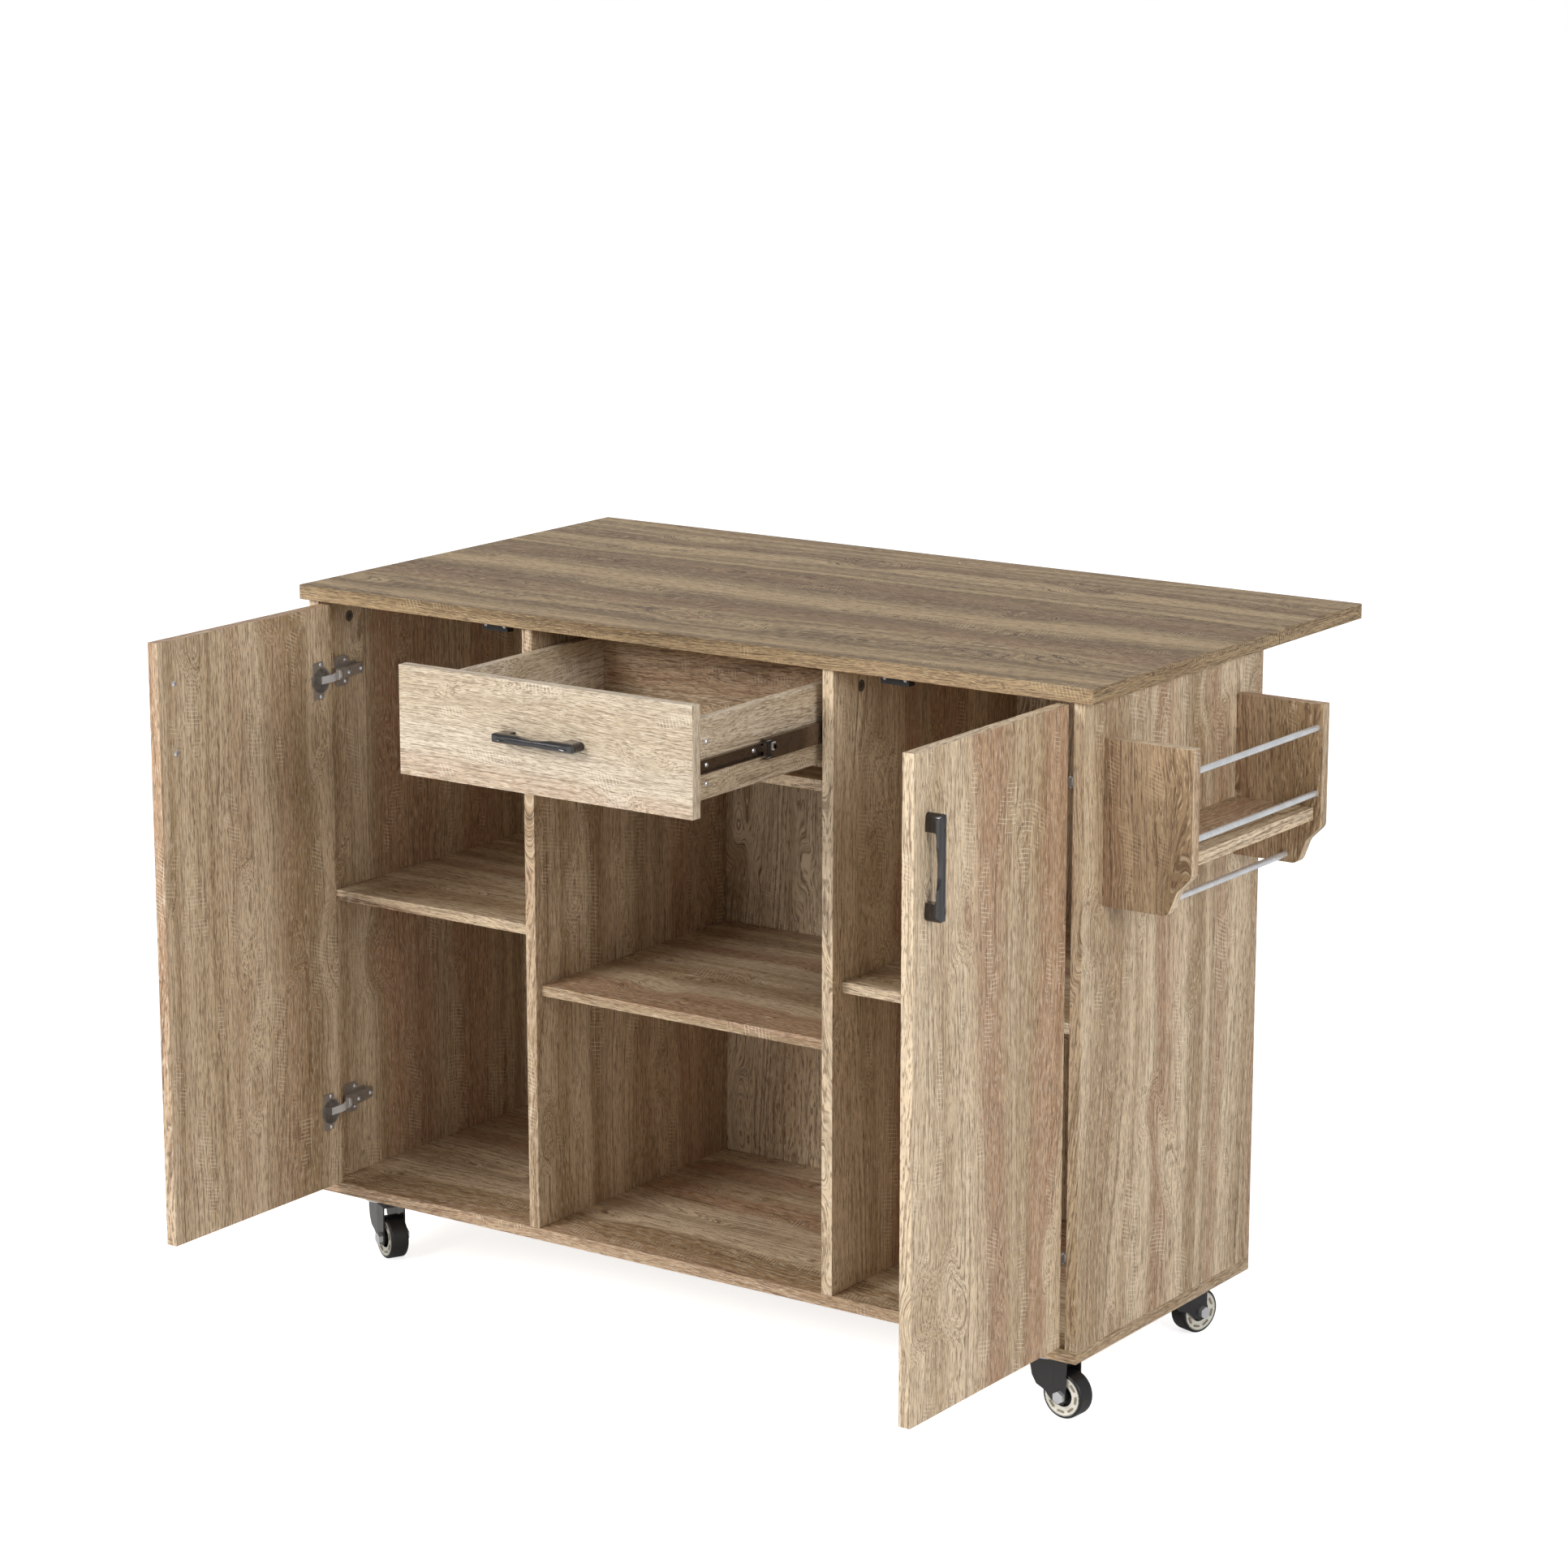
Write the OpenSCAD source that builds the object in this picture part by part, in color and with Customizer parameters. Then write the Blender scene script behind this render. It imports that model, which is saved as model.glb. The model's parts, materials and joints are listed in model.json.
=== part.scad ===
// Kitchen island on casters: a worktop with a drop leaf at the back, a cupboard with a door at
// each end, a drawer over two open shelves in the middle, and a rack with a towel bar outside.
// Millimetres, X to the right, Y to the back, Z up. The floor is z = 0 and the origin lies under
// the middle of the whole footprint, with the doors open and the leaf raised.

/* [Body] */
// Width of the body over its two side boards
body_w = 1190; // [1000:5:1400]
// Depth of the side boards and the bottom board
body_d = 430; // [400:5:520]
// Height from the floor to the surface of the worktop
total_h = 920; // [860:5:960]
// Thickness of the body, door, drawer front and rack boards
board = 16; // [15:0.5:18]
// Thickness of the shelves and the rail under the drawer
shelf_t = 14; // [12:0.5:16]
// Thickness of the back panel
back_t = 6; // [3:0.5:8]
// Clear width of each end cupboard
side_bay = 339.5; // [300:0.5:400]

/* [Worktop] */
// Thickness of the worktop and its leaf
top_t = 19; // [16:0.5:25]
// How far the worktop passes each side board
side_over = 13; // [0:1:30]
// How far the worktop passes the front
front_over = 6; // [0:1:20]
// Depth of the drop leaf
leaf_d = 223; // [205:1:260]
// Gap between the worktop and the leaf
seam = 1; // [0.5:0.5:3]
// Radius of the outer corners of the worktop and the leaf
corner_r = 4; // [1:0.5:10]

/* [Shelves and drawer] */
// Height of the cupboard shelves over the bottom board, to their upper face
side_shelf_up = 403; // [300:1:480]
// Height of the middle shelf over the bottom board, to its upper face
mid_shelf_up = 328; // [200:1:450]
// Height of the drawer's opening, from the rail up to the worktop
drawer_opening = 145; // [120:1:190]
// Gap at each end of the drawer front
front_gap = 2; // [1.5:0.5:4]
// Depth of the rail under the drawer
rail_d = 62; // [40:1:90]
// Thickness of the drawer sides and the drawer back
drawer_t = 12; // [10:0.5:15]
// Thickness of the drawer bottom
drawer_bottom_t = 3; // [3:0.5:6]
// Length of the drawer slides
slide_len = 350; // [300:10:350]
// Space between the drawer side and the divider
slide_gap = 13; // [12.7:0.1:14]

/* [Doors] */
// Gap at each upright edge of a door
door_gap = 4.5; // [3.5:0.5:6]
// Gap above and below each door
door_gap_z = 3; // [2:0.5:5]
// Distance from the worktop down to the middle of the upper hinges
hinge_down = 101; // [80:1:160]
// Distance from the bottom board up to the middle of the lower hinges
hinge_up = 108; // [80:1:160]

/* [Handles] */
// Overall length of a handle
handle_l = 126; // [110:1:150]
// Distance between the two screws of a handle
handle_screws = 90; // [86:1:92]
// How far a handle stands out from the board
handle_out = 24; // [20:1:32]
// Width of a handle across its ends
handle_w = 12; // [10:0.5:16]

/* [Rack] */
// How far the rack stands out from the side board
rack_out = 120; // [90:5:160]
// Length of the rack over its two boards
rack_l = 335; // [250:5:360]
// Height of the rack boards
rack_h = 204; // [180:2:240]
// Distance from the worktop down to the lower edge of the rack
rack_down = 253; // [250:1:400]
// Diameter of the rods
rod_d = 8; // [6:0.5:10]

/* [Casters] */
// Height of a caster from the floor to the bottom board
caster_h = 86; // [80:1:100]
// Diameter of a wheel
wheel_d = 58.5; // [50:0.5:62]
// Width of a wheel
wheel_w = 25.4; // [20:0.2:27]
// Distance from the swivel axis to the wheel axle
trail = 30; // [22:1:32]

/* [Hidden] */
deck = caster_h + board;
top_z = total_h - top_t;
side_h = top_z - deck;
side_shelf_z = deck + side_shelf_up;
mid_shelf_z = deck + mid_shelf_up;
rail_z = top_z - drawer_opening;
rear_over = 16;
top_back = body_d + rear_over;
leaf_y = top_back + seam;
top_l = body_w + 2 * side_over;
rabbet = board / 2;
inner_d = body_d - back_t;
div_1 = board + side_bay;
div_2 = body_w - board - side_bay - board;
mid_x0 = div_1 + board;
mid_w = div_2 - mid_x0;
fit = 0.1;

// what stays fixed in the rest position
door_open = 90;
drawer_out = 266;
trail_dir = [-27, -5, 60, 73];

// doors, drawn closed and flush with the front
door_w = side_bay - 2 * door_gap;
door_h = side_h - 2 * door_gap_z;
door_x = board + door_gap;
door_axis = [door_x - 0.65, -1.65];
cup_x = door_x + 22;
cup_d = 35;
cup_rim = 15;
link_pin = [board + 14, board + 6];
link_len = 20;
link_rest = -66;
link_h = 10;
arm_w = link_h + 4;
tongue_y = board + 2.3;
hinge_levels = [deck + hinge_up, top_z - hinge_down];
grip_x = door_x + door_w - 29.3;
grip_z = [top_z - 104, top_z - 137];
catch_x = [div_1 - 57.5, div_1 - 77.5];

// drawer, drawn pushed in
front_z0 = rail_z + 6;
front_z1 = top_z - 2;
box_w = mid_w - 2 * slide_gap;
box_x = mid_x0 + slide_gap;
box_z0 = front_z0 + 17;
box_h = front_z1 - box_z0 - 22;
box_len = slide_len + 30;
slide_z = box_z0 + 41;
slide_y = board + 2;
drawer_screw_z = [box_z0 + 18, box_z0 + 69];

// leaf hinges and folding brackets
hinge_y = top_back + seam / 2;
hinge_z = top_z - 4;
knuckle_r = 3.4;
bracket_x = [div_1 + board / 2, div_2 + board / 2];
leg_w = 18;
arm_bw = 22;
sheet = 1.5;
brace_drop = 90;
brace_in = 9.5;
brace_len = 122;
brace_r = 5;

// casters, front left, front right, back left, back right
caster_xy = [
    [66, 46],
    [body_w - 66, 46],
    [70, body_d - 60],
    [body_w - 70, body_d - 60]
];

// the middle of the whole footprint
mid_px = (body_w + rack_out - side_over) / 2;
mid_py = (leaf_y + leaf_d + door_axis[1] - (door_w - (door_axis[0] - door_x))) / 2;

oak = [0.72, 0.63, 0.52];
oak_top = [0.62, 0.53, 0.43];
steel = [0.66, 0.67, 0.69];
bronze = [0.24, 0.2, 0.18];
black = [0.08, 0.08, 0.09];
rubber = [0.1, 0.1, 0.1];
cream = [0.85, 0.82, 0.74];

// ---------- placing ----------

module place() translate([-mid_px, -mid_py, 0]) children();

module right_hand() translate([body_w, 0, 0]) mirror([1, 0, 0]) children();

module slab(x, y, z) translate([x[0], y[0], z[0]]) cube([x[1] - x[0], y[1] - y[0], z[1] - z[0]]);

// a round bar along X, Y or Z from its start point
module bar_x(p, l, d) translate(p) rotate([0, 90, 0]) cylinder(h = l, d = d, $fn = 32);
module bar_y(p, l, d) translate(p) rotate([-90, 0, 0]) cylinder(h = l, d = d, $fn = 32);
module bar_z(p, l, d) translate(p) cylinder(h = l, d = d, $fn = 32);

module round_rect(w, l, r) offset(r = r) offset(delta = -r) square([w, l]);

// ---------- body ----------

module top_board(y0, y1, corners_back) {
    r = corner_r;
    intersection() {
        translate([-side_over, corners_back ? y0 - r : y0, top_z])
            linear_extrude(top_t)
                offset(r = r, $fn = 24) offset(delta = -r)
                    square([top_l, y1 - y0 + r]);
        slab([-side_over, body_w + side_over], [y0, y1], [top_z, total_h]);
    }
}

module tabletop() color(oak_top) top_board(-front_over, top_back, false);

module drop_leaf() color(oak_top) top_board(leaf_y, leaf_y + leaf_d, true);

// blind bores for the cam locks that hold the worktop down
cam_y = [62, inner_d - 56];
cam_z = top_z - 30;
cam_d = 15;
cam_deep = 12.5;

module cam_bores(x, dir) for (y = cam_y)
    bar_x([dir > 0 ? x - cam_deep : x - fit, y, cam_z], cam_deep + fit, cam_d + 2 * fit);

pin_y = [52, inner_d - 50];
pin_d = 5;
pin_deep = 9;

module pin_bores(x, z, dir) for (y = pin_y)
    bar_x([dir > 0 ? x - pin_deep : x - fit, y, z - pin_d / 2], pin_deep + fit, pin_d + 2 * fit);

module side_board() color(oak) difference() {
    slab([0, board], [0, body_d], [deck, top_z]);
    slab([board - rabbet, board + 1], [inner_d, body_d + 1], [deck - 1, top_z + 1]);
    cam_bores(board, 1);
    pin_bores(board, side_shelf_z - shelf_t, 1);
}

module side_left() side_board();
module side_right() right_hand() side_board();

module divider() color(oak) difference() {
    slab([div_1, div_1 + board], [0, inner_d], [deck, top_z]);
    cam_bores(div_1, -1);
    pin_bores(div_1, side_shelf_z - shelf_t, -1);
    pin_bores(div_1 + board, mid_shelf_z - shelf_t, 1);
}

module divider_left() divider();
module divider_right() right_hand() divider();

module bottom_panel() color(oak) difference() {
    slab([0, body_w], [0, body_d], [caster_h, deck]);
    slab([rabbet, body_w - rabbet], [inner_d, body_d + 1], [deck - rabbet, deck + 1]);
}

module back_panel() color(oak)
    slab([rabbet, body_w - rabbet], [inner_d, body_d], [deck - rabbet, top_z]);

module shelf_left() color(oak)
    slab([board + 0.5, div_1 - 0.5], [20, inner_d - 1], [side_shelf_z - shelf_t, side_shelf_z]);
module shelf_right() right_hand() shelf_left();
module shelf_middle() color(oak)
    slab([mid_x0 + 0.5, div_2 - 0.5], [10, inner_d - 1], [mid_shelf_z - shelf_t, mid_shelf_z]);
module drawer_rail() color(oak)
    slab([mid_x0, div_2], [20, 20 + rail_d], [rail_z - shelf_t, rail_z]);

// steel pins under the shelves, with a collar against the board
module shelf_pin(x, y, z, dir) {
    bar_x([dir > 0 ? x - pin_deep + 1 : x - 8, y, z - pin_d / 2], pin_deep + 7, pin_d);
    bar_x([dir > 0 ? x : x - 1.2, y, z - pin_d / 2], 1.2, pin_d);
}

module pins_one_half() for (y = pin_y) {
    shelf_pin(board, y, side_shelf_z - shelf_t, 1);
    shelf_pin(div_1, y, side_shelf_z - shelf_t, -1);
    shelf_pin(mid_x0, y, mid_shelf_z - shelf_t, 1);
}

module shelf_pins() color(steel) {
    pins_one_half();
    right_hand() pins_one_half();
}

// cam locks: discs with a cross slot, flush with the board
module cam_lock(x, y) difference() {
    bar_x([x, y, cam_z], cam_deep - 0.5, cam_d);
    for (a = [0, 90]) for (e = [-1, cam_deep - 2])
        translate([x + e, y, cam_z]) rotate([a + 20, 0, 0]) translate([0, -4, -0.8]) cube([2.5, 8, 1.6]);
}

module cams_one_half() for (y = cam_y) {
    cam_lock(board - cam_deep + 0.3, y);
    cam_lock(div_1 + 0.3, y);
}

module cam_locks() color(steel) {
    cams_one_half();
    right_hand() cams_one_half();
}

// magnetic catches under the worktop, behind the free corner of each closed door
module catch_body(x) translate([x, board + 1.5, top_z]) difference() {
    union() {
        translate([-20.5, 0, -13]) cube([41, 13, 13]);
        translate([-8, -0.3, -10]) cube([16, 2, 7]);
    }
    for (s = [-15, 15]) translate([s - 3, -1, -8]) cube([6, 8, 9]);
}

module door_catches() color(black) {
    catch_body(catch_x[0]);
    catch_body(body_w - catch_x[1]);
}

// ---------- concealed hinges ----------

module at_hinges() for (z = hinge_levels) translate([0, 0, z]) children();

// outline of the arm seen from above: low at the back, rising towards its pivot
module arm_outline() hull() {
    translate([board + 5.5, board + 62]) circle(r = 2.5, $fn = 24);
    translate([board + 2.2, board + 12]) square([12, 4]);
    translate(link_pin) circle(r = 3.8, $fn = 32);
}

// the plate on the side board: two round-cornered wings, and the rail that the arm sits on
module hinge_plate() {
    translate([board, board + 12, 0]) difference() {
        rotate([90, 0, 90]) linear_extrude(2.2) {
            translate([0, -20.5]) round_rect(27, 41, 6, $fn = 24);
            translate([10, -10]) square([32, 20]);
        }
        for (z = [-14, 14]) bar_x([-1, 21, z], 5, 4.6);
    }
    translate([board, board + 15, -5]) cube([6, 46, 10]);
}

// the arm is forked at its front end, where the link lies between two cheeks
module hinge_arms() color(bronze) at_hinges() difference() {
    union() {
        hinge_plate();
        translate([0, 0, -arm_w / 2]) linear_extrude(arm_w) arm_outline();
    }
    translate([0, 0, -link_h / 2 - 0.3]) linear_extrude(link_h + 0.6) {
        translate([board - 1, board]) square([30, link_pin[1] - board + 3]);
        translate(link_pin) circle(r = 7, $fn = 32);
    }
}

module hinge_arms_left() {
    hinge_arms();
    color(steel) at_hinges() bar_z([link_pin[0], link_pin[1], -arm_w / 2 + 0.2], arm_w - 0.4, 3);
}

module hinge_arms_right() right_hand() hinge_arms_left();

// the bright links between arm and cup, turning on the arm's pin
module hinge_links() color(steel) at_hinges() translate([link_pin[0], link_pin[1], -link_h / 2])
    linear_extrude(link_h) difference() {
        union() {
            circle(r = 2.4, $fn = 32);
            rotate(link_rest) translate([0, -1.2]) square([link_len, 2.4]);
        }
        circle(r = 1.5 + fit, $fn = 32);
    }

module hinge_links_left() hinge_links();
module hinge_links_right() right_hand() hinge_links();

// ---------- doors, drawn closed and then turned about the hinge axis ----------

module swing() translate([door_axis[0], door_axis[1], 0]) rotate([0, 0, -door_open])
    translate([-door_axis[0], -door_axis[1], 0]) children();

module screw_holes(z) for (s = [-1, 1])
    bar_y([grip_x, -1, z + s * handle_screws / 2], board + 2, 4 + 2 * fit);

module door(z) color(oak) swing() difference() {
    slab([door_x, door_x + door_w], [0, board], [deck + door_gap_z, top_z - door_gap_z]);
    at_hinges() bar_y([cup_x, board - 11.5, 0], 12, cup_d + 2 * fit);
    screw_holes(z);
}

module door_left() door(grip_z[0]);
module door_right() right_hand() door(grip_z[1]);

// cup let into the door, its flange, and the bright tongue that leads from it to the link
module hinge_cup() {
    color(bronze) difference() {
        union() {
            bar_y([cup_x, board - 11.3, 0], 11.3, cup_d);
            translate([cup_x, board + 1.4, 0]) rotate([90, 0, 0]) linear_extrude(1.4) intersection() {
                union() {
                    translate([-5.5, -25]) round_rect(5.5 + cup_rim, 50, 3, $fn = 24);
                    circle(d = cup_d + 1.6, $fn = 64);
                }
                translate([-cup_d, -25]) square([cup_d + cup_rim, 50]);
            }
        }
        bar_y([cup_x, board - 10.3, 0], 20, cup_d - 2);
        for (s = [-1, 1]) bar_y([cup_x, board - 1, s * 21.5], 4, 3.6);
    }
    color(steel) translate([0, 0, -link_h / 2]) linear_extrude(link_h) {
        translate([door_x - 2.5, tongue_y - 1]) square([cup_x + 3.5 - door_x, 2]);
        translate([cup_x - 1, board - 11]) square([2, tongue_y + 12 - board]);
    }
}

module hinge_cups() swing() at_hinges() hinge_cup();
module hinge_cups_left() hinge_cups();
module hinge_cups_right() right_hand() hinge_cups();

// ---------- handles: along X, centred, standing out towards -Y ----------

module grip() color(black) {
    e = handle_l / 2;
    foot = 22;
    intersection() {
        // seen from above: feet, bowed bar and rounded ends
        translate([0, 0, -handle_w]) linear_extrude(2 * handle_w) difference() {
            offset(r = 5, $fn = 32) offset(delta = -5) intersection() {
                translate([-e, -handle_out]) square([2 * e, handle_out + 10]);
                translate([0, 760 - handle_out]) circle(r = 760, $fn = 720);
            }
            translate([-e - 1, 0]) square([2 * e + 2, 20]);
            offset(r = 3, $fn = 24) offset(delta = -3) intersection() {
                translate([-e + foot, -handle_out]) square([2 * (e - foot), handle_out + 10]);
                translate([0, 760 - handle_out + 8.5]) circle(r = 760, $fn = 720);
            }
        }
        // seen from the front: wide ends, slim middle
        rotate([90, 0, 0]) translate([0, 0, -5]) linear_extrude(handle_out + 10) hull() {
            for (s = [-1, 1]) translate([s * (e - handle_w / 2), 0]) circle(d = handle_w, $fn = 32);
        }
        // cross section: a half round front on flat flanks
        rotate([0, 90, 0]) translate([0, 0, -e - 1]) linear_extrude(2 * e + 2) hull() {
            translate([0, -handle_out + handle_w / 2 + 1]) circle(d = handle_w, $fn = 48);
            translate([-handle_w / 2, 0]) square([handle_w, 1]);
        }
    }
}

module grip_waist() difference() {
    grip();
    for (s = [-1, 1]) {
        // shallow waist above and below the middle of the bar
        translate([0, 0, s * (handle_w / 2 + 148)]) rotate([90, 0, 0])
            translate([0, 0, -5]) cylinder(h = handle_out + 10, r = 150, $fn = 240);
        // scooped oval in the front of each end
        translate([s * (handle_l / 2 - 14), -handle_out - 0.4, 0]) scale([10.5, 2.6, 4.2])
            sphere(r = 1, $fn = 32);
    }
}

module grip_screws() color(steel) for (s = [-1, 1]) {
    bar_y([s * handle_screws / 2, 0.2, 0], board - 0.2, 4);
    translate([s * handle_screws / 2, board, 0]) rotate([-90, 0, 0])
        cylinder(h = 2.2, d1 = 8, d2 = 5, $fn = 32);
}

module handle_left() swing() translate([grip_x, 0, grip_z[0]]) rotate([0, 90, 0]) {
    color(black) grip_waist();
    grip_screws();
}

module handle_right() right_hand() swing() translate([grip_x, 0, grip_z[1]]) rotate([0, 90, 0]) {
    color(black) grip_waist();
    grip_screws();
}

// ---------- drawer, drawn pushed in and then pulled out ----------

module pulled(part = 1) translate([0, -drawer_out * part, 0]) children();

front_mid_x = mid_x0 + mid_w / 2;
front_mid_z = (front_z0 + front_z1) / 2;

module drawer_front() color(oak) pulled() difference() {
    slab([mid_x0 + front_gap, div_2 - front_gap], [0, board], [front_z0, front_z1]);
    for (s = [-1, 1]) bar_y([front_mid_x + s * handle_screws / 2, -1, front_mid_z], board + 2, 4 + 2 * fit);
}

module drawer_side() pulled() {
    color(oak) difference() {
        slab([box_x, box_x + drawer_t], [board, board + box_len], [box_z0, box_z0 + box_h]);
        slab([box_x + drawer_t - 5, box_x + drawer_t + 1], [board - 1, board + box_len - drawer_t + 1],
            [box_z0 + 9, box_z0 + 9 + drawer_bottom_t + 0.4]);
    }
    // heads of the two screws of the fittings that draw the front on
    color(steel) for (z = drawer_screw_z) bar_x([box_x - 1.5, board + 26, z], 2, 7);
}

module drawer_side_left() drawer_side();
module drawer_side_right() right_hand() drawer_side();

module drawer_back() color(oak) pulled()
    slab([box_x + drawer_t, box_x + box_w - drawer_t],
        [board + box_len - drawer_t, board + box_len], [box_z0, box_z0 + box_h]);

module drawer_bottom() color(oak) pulled()
    slab([box_x + drawer_t - 4.5, box_x + box_w - drawer_t + 4.5],
        [board + 0.2, board + box_len - drawer_t], [box_z0 + 9.2, box_z0 + 9.2 + drawer_bottom_t]);

module drawer_handle() pulled() translate([front_mid_x, 0, front_mid_z]) {
    color(black) grip_waist();
    grip_screws();
}

// ---------- ball-bearing slides: the pair, left one drawn, Z measured from slide_z ----------

module slide_pair() {
    children();
    right_hand() children();
}

// a sheet channel along Y: back against x0, lips towards dir, outer height h, depth w
module channel(x0, w, h, dir, y0, len) {
    t = 1.2;
    translate([x0, y0, slide_z - h / 2]) mirror([dir > 0 ? 0 : 1, 0, 0]) {
        cube([t, len, h]);
        cube([w, len, t]);
        translate([0, 0, h - t]) cube([w, len, t]);
    }
}

outer_h = 35;
middle_h = 25.8;
inner_h = 17;
ball_d = 2.8;
ball_n = 8;
ball_pitch = slide_len * 0.04;
cage_y = slide_y + slide_len * 0.34;

module slide_outer() color(bronze) slide_pair() difference() {
    channel(mid_x0, 9, outer_h, 1, slide_y, slide_len);
    for (y = [30, 165, 300])
        bar_x([mid_x0 - 1, slide_y + y, slide_z], 4, 4.5);
}

module slide_middle() color(bronze) pulled(0.5) slide_pair() {
    difference() {
        channel(mid_x0 + 3, 6.6, middle_h, 1, slide_y, slide_len - 2);
        bar_x([mid_x0, slide_y + 20, slide_z], 8, 6);
    }
    // rolled stop at the front end
    translate([mid_x0 + 4, slide_y, slide_z - 8]) cube([3, 2, 16]);
}

module slide_inner() pulled() slide_pair() {
    color(bronze) difference() {
        channel(box_x, 5.8, inner_h, -1, slide_y, slide_len);
        for (y = [24, 120, 248, 330])
            bar_x([box_x - 3, slide_y + y, slide_z], 4, 4.5);
    }
    // release lever
    color(black) translate([box_x - 5.2, slide_y + 135, slide_z - 4]) cube([4.6, 24, 8]);
}

// two rows of balls in their cages, at height z over and under the middle of the slide
module ball_rows(x, z) for (s = [-1, 1]) {
    for (i = [0 : ball_n - 1])
        translate([x, cage_y + ball_pitch * (i + 0.5), slide_z + s * z]) sphere(d = ball_d, $fn = 16);
    translate([x - 0.4, cage_y, slide_z + s * z - ball_d / 2 + 0.3])
        cube([0.8, ball_n * ball_pitch, ball_d - 0.6]);
}

module slide_balls_outer() color(steel) pulled(0.25) slide_pair()
    ball_rows(mid_x0 + 7, (outer_h - 2.4 + middle_h) / 4);

module slide_balls_inner() color(steel) pulled(0.75) slide_pair()
    ball_rows(mid_x0 + 8.4, (middle_h - 2.4 + inner_h) / 4);

// ---------- rack on the right side board ----------

rack_y0 = (body_d - rack_l) / 2 - 2.5;
rack_y1 = rack_y0 + rack_l;
rack_z = top_z - rack_down;
rod_x = body_w + rack_out - 8;
rod_z = [rack_z + 92, rack_z + 174];
towel = [body_w + rack_out - 48, rack_z + 10];
socket = 8;

// outline of a rack board: X out of the side board, Y up
module rack_outline() offset(r = 11, $fn = 40) offset(r = -22, $fn = 40) offset(r = 11, $fn = 40)
    polygon([
        [-30, 0], [rack_out - 31, 0], [rack_out - 19, 31], [rack_out, 50],
        [rack_out, rack_h + 40], [-30, rack_h + 40]
    ]);

module rack_board() rotate([90, 0, 0]) translate([0, 0, -board]) linear_extrude(board)
    intersection() {
        rack_outline();
        square([rack_out, rack_h]);
    }

module rod(x, z) bar_y([x, rack_y0 + board - socket + 1, z], rack_l - 2 * (board - socket) - 2, rod_d);

module rod_holes() {
    for (z = rod_z)
        bar_y([rod_x, rack_y0 + board - socket, z], rack_l - 2 * (board - socket), rod_d + 2 * fit);
    bar_y([towel[0], rack_y0 + board - socket, towel[1]],
        rack_l - 2 * (board - socket), rod_d + 2 * fit);
}

module rack_side_front() color(oak) difference() {
    translate([body_w, rack_y0, rack_z]) rack_board();
    rod_holes();
}

module rack_side_back() color(oak) difference() {
    translate([body_w, rack_y1 - board, rack_z]) rack_board();
    rod_holes();
}

module rack_shelf() color(oak)
    slab([body_w, body_w + rack_out - 10], [rack_y0 + board, rack_y1 - board],
        [rack_z + 58, rack_z + 58 + board]);

module rack_rods() color(steel) {
    for (z = rod_z) rod(rod_x, z);
    rod(towel[0], towel[1]);
}

// ---------- leaf hinges and folding brackets ----------

leaf_hinge_x = [body_w * 0.1, body_w * 0.5, body_w * 0.9];
leaf_hinge_l = 60;

module knuckle(x0, x1) bar_x([x0, hinge_y, hinge_z], x1 - x0, 2 * knuckle_r);

module leaf_hinges_fixed() color(bronze) for (x = leaf_hinge_x) difference() {
    union() {
        slab([x - 30, x + 30], [body_d + 1, hinge_y - 1.2], [top_z - sheet, top_z]);
        knuckle(x - 30, x - 10.3);
        knuckle(x + 10.3, x + 30);
        bar_x([x - 29, hinge_y, hinge_z], 58, 3);
    }
    difference() {
        bar_x([x - 10.3, hinge_y, hinge_z], 20.6, 2 * knuckle_r + 1.8);
        bar_x([x - 11, hinge_y, hinge_z], 22, 3);
    }
    for (s = [-20, 20]) bar_z([x + s, body_d + 8, top_z - 3], 5, 4);
}

module leaf_hinges_moving() color(bronze) for (x = leaf_hinge_x) difference() {
    union() {
        slab([x - 30, x + 30], [hinge_y + 1.2, hinge_y + 27], [top_z - sheet, top_z]);
        knuckle(x - 10, x + 10);
    }
    for (s = [-1, 1]) bar_x([x + s * 20.3 - 10.3, hinge_y, hinge_z], 20.6, 2 * knuckle_r + 1.8);
    bar_x([x - 11, hinge_y, hinge_z], 22, 3 + 2 * fit);
    for (s = [-20, 20]) bar_z([x + s, hinge_y + 18, top_z - 3], 5, 4);
}

arm_l = leaf_d - 8;
leg_l = arm_l - 1;

// the leg: an upright channel on the back panel with two ears round the fold pin
module leg_cheek() hull() {
    translate([body_d, hinge_z - 6 - leg_l]) square([12, leg_l]);
    translate([hinge_y, hinge_z]) circle(r = 3.4, $fn = 32);
}

module bracket_leg(x) {
    for (s = [-1, 1])
        translate([x + (s > 0 ? leg_w / 2 - sheet : -leg_w / 2), 0, 0]) rotate([90, 0, 90])
            linear_extrude(sheet) difference() {
                leg_cheek();
                translate([body_d + 13, hinge_z - 7 - leg_l]) square([20, leg_l - 5]);
            }
    difference() {
        slab([x - leg_w / 2, x + leg_w / 2], [body_d, body_d + sheet],
            [hinge_z - 6 - leg_l, hinge_z - 10]);
        for (z = [30, leg_l * 0.6, leg_l - 19]) bar_y([x, body_d - 1, hinge_z - z], 4, 5);
    }
    bar_x([x - arm_bw / 2 - 1, hinge_y, hinge_z], arm_bw + 2, 3);
    bar_x([x - leg_w / 2 - 0.2, hinge_y - brace_in, hinge_z - brace_drop], leg_w + 0.4, 4);
}

module bracket_legs() color(black) for (x = bracket_x) bracket_leg(x);

// the arm: a wider channel under the leaf, nesting over the leg when it folds
module arm_cheek() difference() {
    hull() {
        translate([hinge_y, hinge_z]) circle(r = 3.4, $fn = 32);
        translate([hinge_y + 30, hinge_z - 12]) square([arm_l - 65, 15.5]);
        translate([hinge_y + arm_l - 1, hinge_z - 4]) square([1, 7.5]);
    }
    translate([hinge_y, hinge_z]) circle(d = 3 + 2 * fit, $fn = 32);
}

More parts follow.
